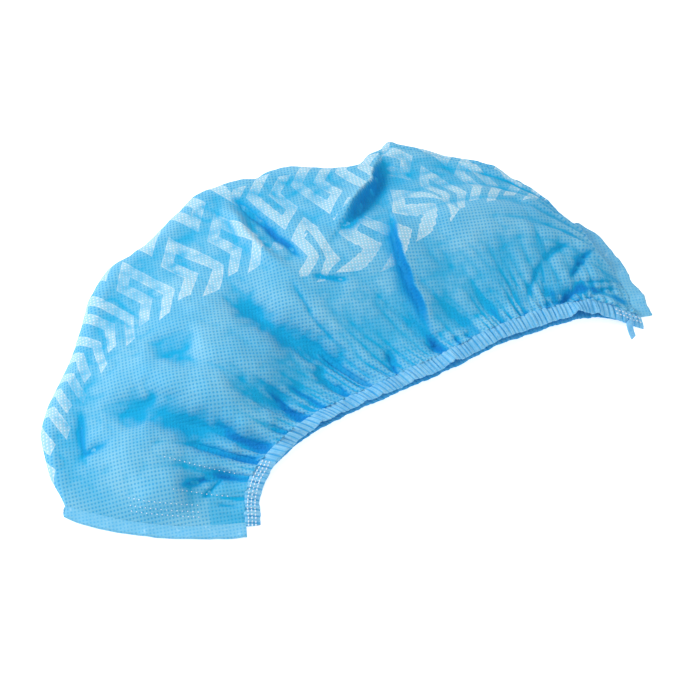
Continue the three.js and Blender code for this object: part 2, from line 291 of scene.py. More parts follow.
def gather_relief(place, reach, rows, seed):
    """Pleats that start at reach 0: rounded tops with sharp valleys between them."""
    rise = np.zeros(place.shape)
    for number, (count, height, length) in enumerate(rows):
        drift = 0.35 * lattice_noise(place * count * 0.5, reach / length, seed + number)
        pleat = np.abs(np.sin(math.pi * (place * count + drift)))
        strength = 0.55 + 0.55 * lattice_noise(place * count * 0.37, np.zeros_like(reach), seed + 20 + number)
        lengthen = length * (1 + 0.5 * lattice_noise(place * count * 0.61, np.zeros_like(reach), seed + 40))
        rise += height * strength * (pleat - 0.72) * np.exp(-(reach / lengthen) ** 1.4)
    return rise


def blurred(values, reach):
    """Grid values averaged over a square of the given half width, twice."""
    for _ in range(2):
        for axis in (0, 1):
            padded = np.concatenate([
                np.repeat(values.take([0], axis), reach + 1, axis),
                values,
                np.repeat(values.take([-1], axis), reach, axis),
            ], axis)
            total = np.cumsum(padded, axis)
            count = values.shape[axis]
            span = 2 * reach + 1
            high = total.take(range(span, span + count), axis)
            values = (high - total.take(range(count), axis)) / span
    return values


def across_places():
    """Places across the sheet from the lower hem to the upper hem, closer at the sole and hem."""
    lower = -np.linspace(1, 0, LOWER_STEPS + 1)[:-1] ** 1.3
    edge_steps = 26
    edge = np.linspace(0, EDGE_SHARE, edge_steps + 1)[:-1]
    body = np.linspace(0, 1, UPPER_STEPS - edge_steps + 1)
    body = EDGE_SHARE + (1 - EDGE_SHARE) * (1 - (1 - body) ** 1.25)
    return np.concatenate([lower, edge, body])


def sheet_grid():
    """Fine outer face, its plain version, crease depth, and the two maps that follow it; crease depth and the
    painted-shade mask become painted shade in the material.
    """
    at, across = np.meshgrid(np.linspace(0, 1, LENGTH_STEPS + 1), across_places(), indexing="ij")
    plain = base_surface(at, across)
    low = plain[..., :2].reshape(-1, 2).min(0)
    shift = np.append(np.array(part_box("cover")[0][:2]) / MM - low, 0.0)
    plain = plain + shift
    normal = grid_normals(plain)
    step = np.linalg.norm(np.diff(plain, axis=1), axis=-1)
    run = np.concatenate([np.zeros((len(plain), 1)), np.cumsum(step, axis=1)], axis=1)
    middle = LOWER_STEPS
    to_hem = run[:, -1:] - run
    x, y = plain[..., 0], plain[..., 1]

    upper = smooth(across / EDGE_SHARE)
    ends = smooth(np.minimum(at, 1 - at) / 0.05)
    rise, crease = fold_relief(x, y)
    rise = 1.25 * rise * upper * ends * smooth((1 - across) / 0.03)
    pleats = gather_relief(at, to_hem, GATHERS, 11) * (across > 0)
    toe_reach = (1 - at) * 190
    toe = gather_relief(np.abs(across) + 0.1 * at, toe_reach, TOE_GATHERS, 31)
    toe = toe * smooth((1 - at) / 0.02 + 0.15) * np.where(across < -EDGE_SHARE, 0, 1)
    puff = 1.7 * lattice_noise(x / 26, y / 26, 1) + 0.45 * lattice_noise(x / 10, y / 12, 2)
    crumple = 0.42 * np.abs(lattice_noise(x / 5.5 + y / 20, y / 6.5, 4)) + 0.12 * lattice_noise(x / 2.6, y / 2.6, 6)
    loose = (puff + crumple) * smooth(across / 0.1 + 0.4) * smooth(at / 0.04) * smooth((1 - at) / 0.04)
    main = plain + normal * (rise + loose)[..., None]
    fine = main + normal * (pleats + toe)[..., None]
    # crease depth, which the materials paint as darker shade, deepened in the valleys of the gathers
    crease = np.clip(crease * upper * ends - 0.7 * np.minimum(pleats + toe + 0.8, 0), 0, 1.6)
    heel_hem_corner = smooth((across - 0.84) / 0.01) * smooth((0.085 - at) / 0.004)

    # painted shade: darker, more saturated blue in the hollows of the height field, on slopes that face away from
    # the key light, and over the heel's hem corner
    height = fine[..., 2]
    painted_shade = 1.1 * (blurred(height, 1) - height) + 0.55 * (blurred(height, 3) - height)
    painted_shade = painted_shade + 0.13 * (blurred(height, 13) - height)
    away_from_light = grid_normals(blurred(fine.reshape(*at.shape, 3), 2)) @ np.array([0.45, -0.6, 0.1])
    painted_shade = np.clip(painted_shade + 0.55 * away_from_light + 0.12, 0, 1) * (across > 0) * ends
    painted_shade = np.maximum(painted_shade, 0.3 * heel_hem_corner)

    # unrolled map: plan places, pushed outwards by the length hidden in the round sole edge
    hidden = np.maximum(0, run[:, middle + 26:middle + 27] - run) - np.linalg.norm(
        plain[..., :2] - plain[:, middle + 26:middle + 27, :2], axis=-1) * (across < EDGE_SHARE)
    outward = plain[:, middle, :2] - plain[:, -1, :2]
    outward = outward / np.linalg.norm(outward, axis=-1, keepdims=True)
    weave = plain[..., :2] + outward[:, None] * np.maximum(hidden, 0)[..., None]
    return {"fine": fine, "main": main, "crease": crease, "painted_shade": painted_shade, "weave": weave}


# ---------------------------------------------------------------- meshes
def new_object(name, points, faces, smooth_faces=True):
    mesh = bpy.data.meshes.new(name)
    mesh.from_pydata((np.asarray(points) * MM).tolist(), [], [tuple(f) for f in faces])
    mesh.validate()
    mesh.polygons.foreach_set("use_smooth", [smooth_faces] * len(mesh.polygons))
    piece = bpy.data.objects.new(name, mesh)
    bpy.context.scene.collection.objects.link(piece)
    return piece


def face_outwards(piece):
    work = bmesh.new()
    work.from_mesh(piece.data)
    bmesh.ops.recalc_face_normals(work, faces=work.faces)
    work.to_mesh(piece.data)
    work.free()


def grid_faces(rows, places, start=0, closed=False):
    """Quads of a grid of points; closed joins the last row to the first."""
    faces = []
    last = rows if closed else rows - 1
    for row in range(last):
        here = start + row * places
        there = start + ((row + 1) % rows) * places
        faces += [(here + p, there + p, there + p + 1, here + p + 1) for p in range(places - 1)]
    return faces


def zip_edges(outer, inner):
    """Triangles and quads between a fine edge and a coarse one that run side by side."""
    faces = []
    o = i = 0
    while o < len(outer) - 1 or i < len(inner) - 1:
        outer_share = (o + 1) / (len(outer) - 1) if o < len(outer) - 1 else 2
        inner_share = (i + 1) / (len(inner) - 1) if i < len(inner) - 1 else 2
        if outer_share <= inner_share:
            faces.append((outer[o], outer[o + 1], inner[i]))
            o += 1
        else:
            faces.append((outer[o], inner[i + 1], inner[i]))
            i += 1
    return faces


def add_map(mesh, name, values):
    """UV map from one pair of numbers a vertex."""
    layer = mesh.uv_layers.new(name=name)
    loops = np.empty(len(mesh.loops), dtype=np.int32)
    mesh.loops.foreach_get("vertex_index", loops)
    layer.data.foreach_set("uv", np.asarray(values, dtype=np.float32)[loops].ravel())


def inside_outline(x, y, outline):
    """Whether each point lies inside a closed outline."""
    inside = np.zeros(x.shape, dtype=bool)
    for (ax, ay), (bx, by) in zip(outline, outline[1:] + outline[:1]):
        if ay != by:
            crossing = ((ay > y) != (by > y)) & (x < ax + (y - ay) / (by - ay) * (bx - ax))
            inside ^= crossing
    return inside


def rounded_route(route, steps=12):
    """The same route as a smooth curve of short straight parts."""
    points = np.array([route[0], *route, route[-1]], float)
    share = np.arange(steps)[:, None] / steps
    parts = []
    for a, b, c, d in zip(points, points[1:], points[2:], points[3:]):
        slope, bend = (c - a) / 2, (d - b) / 2
        swing = 3 * (c - b) - 2 * slope - bend
        parts.append(b + slope * share + swing * share ** 2 + (slope + bend - 2 * (c - b)) * share ** 3)
    return np.concatenate([*parts, points[-1:]])


def add_print_map(mesh, weave):
    """UV map of the printed band: along it and inwards from its first row, patch by patch."""
    count = len(mesh.polygons)
    totals = np.empty(count, dtype=np.int32)
    mesh.polygons.foreach_get("loop_total", totals)
    loops = np.empty(len(mesh.loops), dtype=np.int32)
    mesh.loops.foreach_get("vertex_index", loops)
    starts = np.concatenate([[0], np.cumsum(totals)[:-1]])
    middle = np.add.reduceat(weave[loops], starts) / totals[:, None]
    free = np.ones(count, dtype=bool)
    result = np.zeros((len(loops), 2), dtype=np.float32)
    for _, outline, route, first, scale in PRINT_PATCHES:
        chosen = free if outline is None else free & inside_outline(middle[:, 0], middle[:, 1], outline)
        free = free & ~chosen
        curve = [tuple(point) for point in rounded_route(route)]
        length = sum(math.dist(a, b) for a, b in zip(curve, curve[1:]))
        distance, share = route_distance(weave[:, 0], weave[:, 1], curve)
        places = np.stack([share * length - first, -distance], -1) / scale
        mine = np.repeat(chosen, totals)
        result[mine] = places[loops[mine]]
    layer = mesh.uv_layers.new(name="Print")
    layer.data.foreach_set("uv", result.ravel())


def add_number(mesh, name, values):
    layer = mesh.attributes.new(name, "FLOAT", "POINT")
    layer.data.foreach_set("value", np.asarray(values, dtype=np.float32))


def cover_piece(grid):
    """The folded sheet: a fine outer face, a coarser inner face and walls round the border."""
    fine, main = grid["fine"], grid["main"]
    fine = fine.copy()
    fine[..., 2] = np.maximum(fine[..., 2], 0.02)
    rows, places = fine.shape[:2]
    pick_rows = np.unique(np.linspace(0, rows - 1, rows // INNER_SKIP).round().astype(int))
    pick_places = np.unique(np.linspace(0, places - 1, places // 4).round().astype(int))
    inner = (main - grid_normals(main) * WALL)[np.ix_(pick_rows, pick_places)]
    inner_rows, inner_places = inner.shape[:2]
    start = rows * places
    faces = grid_faces(rows, places)
    faces += [tuple(reversed(f)) for f in grid_faces(inner_rows, inner_places, start)]

    def edges(count_rows, count_places, first):
        index = first + np.arange(count_rows * count_places).reshape(count_rows, count_places)
        return index[0], index[-1], index[:, 0], index[:, -1]

    for outer_edge, inner_edge in zip(edges(rows, places, 0), edges(inner_rows, inner_places, start)):
        faces += zip_edges([int(v) for v in outer_edge], [int(v) for v in inner_edge])
    points = np.concatenate([fine.reshape(-1, 3), inner.reshape(-1, 3)])
    piece = new_object("nonwoven_cover", points, faces)

    def both(values):
        flat = values.reshape(rows * places, -1)
        under = values[np.ix_(pick_rows, pick_places)].reshape(inner_rows * inner_places, -1)
        return np.concatenate([flat, under]).squeeze()

    face_outwards(piece)
    add_map(piece.data, "Weave", both(grid["weave"]))
    add_print_map(piece.data, both(grid["weave"]))
    # crease depth and the next mask are painted as shade by the material
    add_number(piece.data, "crease", both(grid["crease"]))
    add_number(piece.data, "painted_shade", both(grid["painted_shade"]))
    return piece


def tube_piece(name, sections, closed):
    """Closed skin through rings of points, sections[step][corner]."""
    steps, corners = sections.shape[:2]
    faces = []
    last = steps if closed else steps - 1
    for step in range(last):
        here, there = step * corners, ((step + 1) % steps) * corners
        for c in range(corners):
            d = (c + 1) % corners
            faces.append((here + c, there + c, there + d, here + d))
    if not closed:
        faces.append(tuple(range(corners)))
        faces.append(tuple((steps - 1) * corners + c for c in range(corners)))
    piece = new_object(name, sections.reshape(-1, 3), faces)
    face_outwards(piece)
    return piece


def hem_rim(grid, side, steps):
    """Edge line of one layer with its directions, resampled along the opening."""
    place = -1 if side > 0 else 0
    inside = -14 if side > 0 else 3
    edge = grid["main"][:, place]
    run = edge - grid["main"][:, inside]
    run = run / np.linalg.norm(run, axis=-1, keepdims=True)
    normal = grid_normals(grid["main"])[:, place]
    old = np.linspace(0, 1, len(edge))
    new = np.linspace(0, 1, steps)

    def again(values):
        return np.stack([np.interp(new, old, values[:, k]) for k in range(3)], -1)

    return new, again(edge), again(run), again(normal)


def hem_sections(grid, side, steps):
    """Rings of the rolled, gathered band along one side of the opening, and the painted shade in its gathers."""
    at, edge, run, normal = hem_rim(grid, side, steps)
    droop = np.array([0, 0, -0.28 if side > 0 else 0.0])
    run = run + droop
    run = run / np.linalg.norm(run, axis=-1, keepdims=True)
    corners = 14
    turn = np.arange(corners) / corners * TAU
    half = HEM_WIDTH / 2 + 0.3
    wave = np.abs(np.sin(math.pi * (at * 96 + 0.6 * lattice_noise(at * 40, at * 0, 51))))
    fine = np.abs(np.sin(math.pi * (at * 171 + 0.8 * lattice_noise(at * 60, at * 0, 52))))
    swell = 0.62 * (wave - 0.5) + 0.34 * (fine - 0.5) + 0.3 * lattice_noise(at * 22, at * 0, 53)
    wide = half * (1 + 0.09 * lattice_noise(at * 60, at * 0, 54) + 0.06 * lattice_noise(at * 170, at * 0, 55))
    across = np.sign(np.cos(turn)) * np.abs(np.cos(turn)) ** 0.8
    up = np.sign(np.sin(turn)) * np.abs(np.sin(turn)) ** 0.8
    thick = HEM_THICKNESS / 2 + swell[:, None] * (0.4 + 0.6 * np.abs(up))
    reach = half - 0.6 if side > 0 else 0.4
    middle = edge + run * reach - normal * 0.5
    rings = middle[:, None] + run[:, None] * (across * 1.0)[None, :, None] * wide[:, None, None]
    rings = rings + normal[:, None] * (up[None] * thick)[..., None]
    rings[..., 2] = np.maximum(rings[..., 2], 0.05)
    # painted shade in the gathers' valleys, stronger on the band's face turned out of the bag
    gather_shade = np.clip(0.9 - 1.5 * wave, 0, 1) + 0.6 * np.clip(0.6 - 1.4 * fine, 0, 1)
    outer_face_shade_weight = 0.75 + 0.5 * np.sin(turn)
    return rings, gather_shade[:, None] * outer_face_shade_weight


def hem_piece(upper, lower):
    """The whole band as one ring, with painted shade in its gathers and over the whole lower band."""
    piece = tube_piece("gathered_hem", np.concatenate([upper[0], lower[0][::-1]]), True)
    # the lower band gets 0.8 more painted shade all over
    add_number(piece.data, "crease", np.concatenate([upper[1], lower[1][::-1] + 0.8]).ravel())
    return piece


def seam_piece(name, grid, end, width, rough, seed):
    """Flat welded strip beyond one end of the sheet, softly rippled, with a cut edge."""
    row = grid["main"][0 if end == 0 else -1]
    ring = row[LOWER_STEPS:]
    steps = 150
    old = np.linspace(0, 1, len(ring))
    new = np.linspace(0.0, 1.0, steps)
    line = np.stack([np.interp(new, old, ring[:, k]) for k in range(2)], -1)
    tangent = np.gradient(line, axis=0)
    tangent /= np.linalg.norm(tangent, axis=-1, keepdims=True)
    side = np.stack([tangent[:, 1], -tangent[:, 0]], -1)
    if end == 0:
        side = -side if side[steps // 2, 0] > 0 else side
    else:
        side = -side if side[steps // 2, 0] < 0 else side
    taper = 0.3 + 0.7 * smooth(new / 0.25)
    cut = width * taper * (1 + rough * lattice_noise(new * 9, new * 0, seed))
    cut = cut - 2.5 * rough * np.abs(lattice_noise(new * 17, new * 0, seed + 3))
    places = np.linspace(-0.3, 1, 9)
    lift = 0.9 + (0.4 + 4 * rough) * lattice_noise(new * 7, new * 0, seed + 1)
    ripple = (0.4 + 3 * rough) * lattice_noise(new * 26, new * 0, seed + 2)
    top, under = [], []
    for share in places:
        flat = line + side * (cut * share)[:, None]
        rise = 2.15 - 0.9 * max(share, 0) + (lift + ripple) * max(share, 0) * 0.7 + share * (share < 0)
        top.append(np.column_stack([flat, rise]))
        under.append(np.column_stack([flat, np.maximum(rise - SEAM_THICKNESS, 0.02)]))
    sections = np.stack(top + under[::-1], axis=1)
    sections[..., 2] = np.maximum(sections[..., 2], 0.02)
    return tube_piece(name, sections, False)


def surface_route(grid, route, lift):
    """Points on the upper layer, each from its share along (at) and across the sheet."""
    places = across_places()
    fine, normal = grid["fine"], grid_normals(grid["fine"])
    points = []
    for at, across in route:
        row = min(int(round(at * LENGTH_STEPS)), LENGTH_STEPS)
        place = int(np.abs(places - across).argmin())
        points.append(fine[row, place] + normal[row, place] * lift)
    return points


def stitch_tree(material):
    """Geometry Nodes: a stitch at each step along every route, lying along it."""
    tree = bpy.data.node_groups.new("stitch_rows", "GeometryNodeTree")
    face = tree.interface
    face.new_socket("Geometry", in_out="INPUT", socket_type="NodeSocketGeometry")
    for name in ("Spacing", "Stitch Length", "Stitch Width", "Stitch Height"):
        face.new_socket(name, in_out="INPUT", socket_type="NodeSocketFloat")
    face.new_socket("Geometry", in_out="OUTPUT", socket_type="NodeSocketGeometry")
    group = tree.nodes.new("NodeGroupInput")
    given = {socket.name: Value(tree, socket) for socket in group.outputs if socket.name}
    curve = node(tree, "GeometryNodeMeshToCurve", {}, {"Mesh": given["Geometry"]})
    steps = node(tree, "GeometryNodeResampleCurve", {"mode": "LENGTH"}, {"Curve": curve, "Length": given["Spacing"]})
    tangent = node(tree, "GeometryNodeInputTangent")
    lie = node(tree, "FunctionNodeAlignRotationToVector", {"axis": "X"}, {"Vector": tangent})
    size = node(tree, "ShaderNodeCombineXYZ", {}, {
        "X": given["Stitch Length"], "Y": given["Stitch Width"], "Z": given["Stitch Height"]})
    bead = node(tree, "GeometryNodeMeshIcoSphere", {}, {"Radius": 0.5, "Subdivisions": 2})
    placed = node(tree, "GeometryNodeInstanceOnPoints", {}, {
        "Points": steps, "Instance": bead, "Rotation": lie, "Scale": size})
    real = node(tree, "GeometryNodeRealizeInstances", {}, {"Geometry": placed})
    done = node(tree, "GeometryNodeSetMaterial", {}, {"Geometry": real, "Material": material})
    node(tree, "NodeGroupOutput", {}, {"Geometry": done})
    return tree


def stitched_piece(name, routes, tree, sizes):
    """Plain mesh of the stitches along routes; sizes are the tree's inputs in millimetres."""
    mesh = bpy.data.meshes.new(name + "_routes")
    points, edges = [], []
    for route in routes:
        start = len(points)
        points += [tuple(np.array(point) * MM) for point in route]
        edges += [(start + i, start + i + 1) for i in range(len(route) - 1)]
    mesh.from_pydata(points, edges, [])
    source = bpy.data.objects.new(name + "_routes", mesh)
    bpy.context.scene.collection.objects.link(source)
    modifier = source.modifiers.new("stitches", "NODES")
    modifier.node_group = tree
    identifiers = {item.name: item.identifier for item in tree.interface.items_tree if item.in_out == "INPUT"}
    for label, size in sizes.items():
        modifier[identifiers[label]] = size * MM
    evaluated = source.evaluated_get(bpy.context.evaluated_depsgraph_get())
    result = bpy.data.meshes.new_from_object(evaluated)
    piece = bpy.data.objects.new(name, result)
    bpy.context.scene.collection.objects.link(piece)
    source.modifiers.clear()
    bpy.data.objects.remove(source)
    piece.data.polygons.foreach_set("use_smooth", [True] * len(piece.data.polygons))
    return piece


def hem_top_route(rings, first, last, over):
    """Line on the band's upper face from share first to last, over from its middle in mm."""
    steps = len(rings)
    rows = range(int(first * (steps - 1)), int(last * (steps - 1)) + 1, 4)
    line = []
    for row in rows:
        ring = rings[row]
        middle = ring.mean(0)
        run = ring[0] - ring[7]
        run = run / np.linalg.norm(run)
        top = ring[3] + (ring[4] - ring[3]) * 0.5
        lift = top - middle
        lift = lift - run * lift.dot(run)
        line.append(middle + run * over + lift * (1.0 + 0.1 / max(np.linalg.norm(lift), 0.1)))
    return line


def tab_piece(box):
    """The loose end of the hem: a narrow strip folded over itself, bending to the floor."""
    low, high = np.array(box) / MM
    steps = 26
    share = np.linspace(0, 1, steps)
    x = high[0] - 2.6 - 1.6 * share - 0.8 * np.sin(share * 2.5)
    y = high[1] + 1.5 - (high[1] - low[1] + 1.0) * share
    z = np.maximum(3.6 - 2.8 * share ** 1.5, 0.7)
    half = 1.9 - 0.5 * share
    rings = []
    corners = 12
    turn = np.arange(corners) / corners * TAU
    crinkle = 0.12 * np.abs(np.sin(share * 19))
    for i in range(steps):
        over = np.cos(turn) * half[i]
        up = np.sign(np.sin(turn)) * np.abs(np.sin(turn)) ** 0.7 * (0.6 + crinkle[i])
        cup = 0.5 * (np.cos(turn) ** 2) * (0.4 + share[i])
        rings.append(np.stack([x[i] + over, y[i] + 0.25 * over, z[i] + up + cup], -1))
    sections = np.array(rings)
    sections[..., 2] = np.maximum(sections[..., 2], 0.05)
    return tube_piece("loose_tab", sections, False)


# ---------------------------------------------------------------- shader helpers
class Value:
    """A socket, or a number, that adds Math nodes when it is used in an expression."""

    def __init__(self, tree, socket):
        self.tree, self.socket = tree, socket

    def math(self, operation, *others, clamp=False):
        inputs = {i: v for i, v in enumerate((self, *others))}
        return node(self.tree, "ShaderNodeMath", {"operation": operation, "use_clamp": clamp}, inputs)

    def __add__(self, other):
        return self.math("ADD", other)

    def __sub__(self, other):
        return self.math("SUBTRACT", other)

    def __rsub__(self, other):
        return node(self.tree, "ShaderNodeMath", {"operation": "SUBTRACT"}, {0: other, 1: self})

    def __mul__(self, other):
        return self.math("MULTIPLY", other)

    def __truediv__(self, other):
        return self.math("DIVIDE", other)

    __radd__ = __add__
    __rmul__ = __mul__

    def floor(self):
        return self.math("FLOOR")

    def cos(self):
        return self.math("COSINE")

    def least(self, other):
        return self.math("MINIMUM", other)

    def most(self, other):
        return self.math("MAXIMUM", other)

    def held(self):
        return self.math("ADD", 0.0, clamp=True)


def node(tree, kind, settings=None, inputs=None, output=0):
    """Any node: its settings first, then the values or links of its sockets."""
    made = tree.nodes.new(kind)
    for name, setting in (settings or {}).items():
        if name == "stops":
            for stop, (place, color) in zip(made.color_ramp.elements, setting):
                stop.position, stop.color = place, color
        else:
            setattr(made, name, setting)
    for name, value in (inputs or {}).items():
        socket = made.inputs[name]
        if isinstance(value, Value):
            tree.links.new(value.socket, socket)
        else:
            socket.default_value = value
    return Value(tree, made.outputs[output]) if made.outputs else None


def blend_colors(tree, factor, first, second, mode="MIX"):
    """Colour mix; first and second are Values or RGBA tuples."""
    settings = {"data_type": "RGBA", "blend_type": mode}
    return node(tree, "ShaderNodeMix", settings, {0: factor, 6: first, 7: second}, 2)


def new_material(name):
    material = bpy.data.materials.new(name)
    material.use_nodes = True
    material.node_tree.nodes.clear()
    return material, material.node_tree


def finish_cloth(tree, color, rough, height, bump_distance, glow):
    """Cloth shader: soft diffuse with light through it, bumped."""
    bump = node(tree, "ShaderNodeBump", {}, {"Strength": 0.8, "Distance": bump_distance, "Height": height})
    shader = node(tree, "ShaderNodeBsdfPrincipled", {}, {
        "Base Color": color, "Roughness": rough, "Normal": bump,
        "Specular IOR Level": 0.18, "Sheen Weight": 0.05, "Sheen Roughness": 0.5,
    })
    through = node(tree, "ShaderNodeBsdfTranslucent", {}, {"Color": glow, "Normal": bump})
    both = node(tree, "ShaderNodeMixShader", {}, {0: 0.22, 1: shader, 2: through})
    node(tree, "ShaderNodeOutputMaterial", {}, {"Surface": both})


def axis_pair(tree, vector):
    parts = tree.nodes.new("ShaderNodeSeparateXYZ")
    tree.links.new(vector.socket, parts.inputs[0])
    return Value(tree, parts.outputs[0]), Value(tree, parts.outputs[1])


def bond_points(tree, vector, pitch):
    """Lattice of round bond points, 1 at each point."""
    turned = node(tree, "ShaderNodeMapping", {}, {"Vector": vector, "Rotation": (0, 0, math.radians(20))})
    u, v = axis_pair(tree, turned)
    wave = (u * (TAU / pitch)).cos() + (v * (TAU / pitch)).cos()
    return (wave * 0.75 - 0.12).held()


# ---------------------------------------------------------------- printed tread marks
# Bars of one mark in millimetres from its corner: low and high place along the bar direction,
# low and high place along the leg direction, and how much further a leg's near side reaches.
MARK_BARS = (
    (0.0, 30.0, 0.0, 5.5, 0.0),
    (0.0, 5.5, 0.0, 15.5, 0.0),
    (0.0, 19.0, 10.0, 15.5, 0.0),
    (24.5, 30.0, 0.0, 13.0, 1.3),
    (13.5, 19.0, 10.0, 22.0, 1.1),
)
BAR_TURN = math.radians(66)     # the bars' direction, inwards from the band's line
LEG_TURN = math.radians(130)    # the legs' direction
PRINT_EDGE = 5.0                # sharpness of the print's edge, per millimetre
OTHER_ROW = (12.0, 5.0)         # corner of the turned mark, along and inwards


def mark_cover(tree, along, inward):
    """Depth inside one tread mark whose corner is at 0, 0, in millimetres; below 0 outside."""
    skew = math.sin(LEG_TURN - BAR_TURN)
    p = along * (math.sin(LEG_TURN) / skew) - inward * (math.cos(LEG_TURN) / skew)
    q = inward * (math.cos(BAR_TURN) / skew) - along * (math.sin(BAR_TURN) / skew)
    total = None
    for p_low, p_high, q_low, q_high, cut in MARK_BARS:
        tip = q_high - q
        if cut:
            tip = tip + (p_high - p) * cut
        bar = (p - p_low).least(p_high - p).least((q - q_low).least(tip))
        total = bar if total is None else total.most(bar)
    return total


def tread_print(tree, along, inward):
    """Two rows of marks, one the other turned half round, repeating along the sole."""
    total = None
    for turn, start, depth in ((1, 0.0, 0.0), (-1, *OTHER_ROW)):
        place = (along - start) * turn
        local = place - (place / PRINT_PITCH).floor() * PRINT_PITCH
        for copy in (0.0, PRINT_PITCH):
            mark = mark_cover(tree, local - copy, (inward - depth) * turn)
            total = mark if total is None else total.most(mark)
    return total


BLUE = (0.135, 0.510, 0.755, 1)
PALE = (0.270, 0.630, 0.815, 1)
# painted shade colours: the next two tint creases and laps' low sides darker
DEEP_CREASE_SHADE_BLUE = (0.000, 0.240, 0.640, 1)
CREASE_SHADE_BLUE = (0.001, 0.370, 0.740, 1)
DOT_BLUE = (0.020, 0.370, 0.740, 1)
INK = (0.400, 0.700, 0.830, 1)
WHITE = (0.76, 0.88, 0.93, 1)
# painted shade colour for hollows and slopes facing away from the key light
PAINTED_SHADE_BLUE = (0.002, 0.430, 0.760, 1)
GLOW = (0.030, 0.480, 0.860, 1)


def nonwoven_material():
    material, tree = new_material("printed_nonwoven")
    weave = node(tree, "ShaderNodeUVMap", {"uv_map": "Weave"})
    crease = node(tree, "ShaderNodeAttribute", {"attribute_name": "crease"}, output=2)
    points = bond_points(tree, weave, BOND_PITCH)
    broad = node(tree, "ShaderNodeTexNoise", {}, {"Vector": weave, "Scale": 0.045, "Detail": 3.0})
    fibre = node(tree, "ShaderNodeTexNoise", {}, {"Vector": weave, "Scale": 1.4, "Detail": 4.0, "Roughness": 0.7})
    base = blend_colors(tree, ((broad - 0.38) * 2.6).held(), BLUE, PALE)
    base = blend_colors(tree, ((fibre - 0.35) * 0.5).held(), base, PALE)
    base = blend_colors(tree, points * (((broad - 0.4) * 2).held() * -0.35 + 0.9), base, DOT_BLUE)
    marks_map = node(tree, "ShaderNodeUVMap", {"uv_map": "Print"})
    depth = tread_print(tree, *axis_pair(tree, marks_map))
    ink = (depth * PRINT_EDGE + 0.5).held()
    rim = ink * (1 - (depth - 0.3) * 2.6).held() * ((fibre - 0.35) * 3).held()
    patchy = ((fibre - 0.2) * 1.1).held() * 0.35 + 0.6
    base = blend_colors(tree, ink * patchy, base, INK)
    base = blend_colors(tree, (ink * points * 0.8).most(rim * 0.7), base, WHITE)
    # painted shade: hollows and slopes facing away from the key light turn a saturated blue, creases and the low
    # sides of laps darker still
    painted_shade = node(tree, "ShaderNodeAttribute", {"attribute_name": "painted_shade"}, output=2)
    base = blend_colors(tree, (painted_shade * 1.7).held(), base, PAINTED_SHADE_BLUE)
    base = blend_colors(tree, (crease * 1.1).held(), base, CREASE_SHADE_BLUE)
    base = blend_colors(tree, ((crease - 0.5) * 1.3).held(), base, DEEP_CREASE_SHADE_BLUE)
    height = (0 - points) * 0.9 + fibre * 0.45
    rough = fibre * 0.15 + 0.55
    finish_cloth(tree, base, rough, height, 0.00022, GLOW)
    return material


def hem_material():
    material, tree = new_material("gathered_nonwoven")
    place = node(tree, "ShaderNodeTexCoord", output=3)
    fine = node(tree, "ShaderNodeTexNoise", {}, {"Vector": place, "Scale": 900.0, "Detail": 4.0})
    broad = node(tree, "ShaderNodeTexNoise", {}, {"Vector": place, "Scale": 160.0, "Detail": 3.0})
    crease = node(tree, "ShaderNodeAttribute", {"attribute_name": "crease"}, output=2)
    base = blend_colors(tree, ((broad - 0.3) * 1.8).held(), (0.16, 0.52, 0.82, 1), (0.33, 0.69, 0.90, 1))
    base = blend_colors(tree, ((fine - 0.45) * 1.4).held(), base, (0.45, 0.76, 0.92, 1))
    # painted shade in the gathers and over the lower band
    base = blend_colors(tree, (crease * 0.8).held(), base, CREASE_SHADE_BLUE)
    finish_cloth(tree, base, fine * 0.15 + 0.55, fine, 0.0003, GLOW)
    return material


def weld_material():
    """Flattened seam: paler, with short white weld dashes."""
    material, tree = new_material("welded_nonwoven")
    place = node(tree, "ShaderNodeTexCoord", output=3)
    fine = node(tree, "ShaderNodeTexNoise", {}, {"Vector": place, "Scale": 700.0, "Detail": 4.0})
    flecks = node(tree, "ShaderNodeTexNoise", {}, {"Vector": place, "Scale": 480.0, "Detail": 1.0})
    plan = node(tree, "ShaderNodeMapping", {}, {"Vector": place, "Scale": (1000, 1000, 0)})
    base = blend_colors(tree, fine, BLUE, PALE)
    base = blend_colors(tree, bond_points(tree, plan, BOND_PITCH) * 0.5, base, DOT_BLUE)
    base = blend_colors(tree, ((flecks - 0.64) * 6).held() * 0.7, base, (0.55, 0.82, 0.93, 1))
    finish_cloth(tree, base, 0.6, fine, 0.0002, GLOW)
    return material


def thread_material():
    material, tree = new_material("white_thread")
    place = node(tree, "ShaderNodeTexCoord", output=3)
    twist = node(tree, "ShaderNodeTexNoise", {}, {"Vector": place, "Scale": 2500.0, "Detail": 2.0})
    base = blend_colors(tree, twist, (0.62, 0.82, 0.93, 1), (0.90, 0.95, 0.98, 1))
    finish_cloth(tree, base, 0.6, twist, 0.0001, (0.5, 0.7, 0.9, 1))
    return material


# ---------------------------------------------------------------- camera, light, floor
VIEW_TURN = math.radians(-30)
VIEW_RISE = math.radians(62)
VIEW_LENS = 85.0
SENSOR = 36.0
FRAME_WIDTH = 0.294         # width of what the picture takes in at the cover, in metres
AIM = (0.0038, -0.0236, 0.012)


def add_camera():
    data = bpy.data.cameras.new("camera")
    data.lens = VIEW_LENS
    data.sensor_width = SENSOR
    camera = bpy.data.objects.new("camera", data)
    bpy.context.scene.collection.objects.link(camera)
    distance = FRAME_WIDTH * VIEW_LENS / SENSOR
    back = np.array([
        math.sin(VIEW_TURN) * math.cos(VIEW_RISE),
        -math.cos(VIEW_TURN) * math.cos(VIEW_RISE),
        math.sin(VIEW_RISE),
    ])
    camera.location = np.array(AIM) + back * distance
    camera.rotation_euler = (math.pi / 2 - VIEW_RISE, 0, VIEW_TURN)
    bpy.context.scene.camera = camera


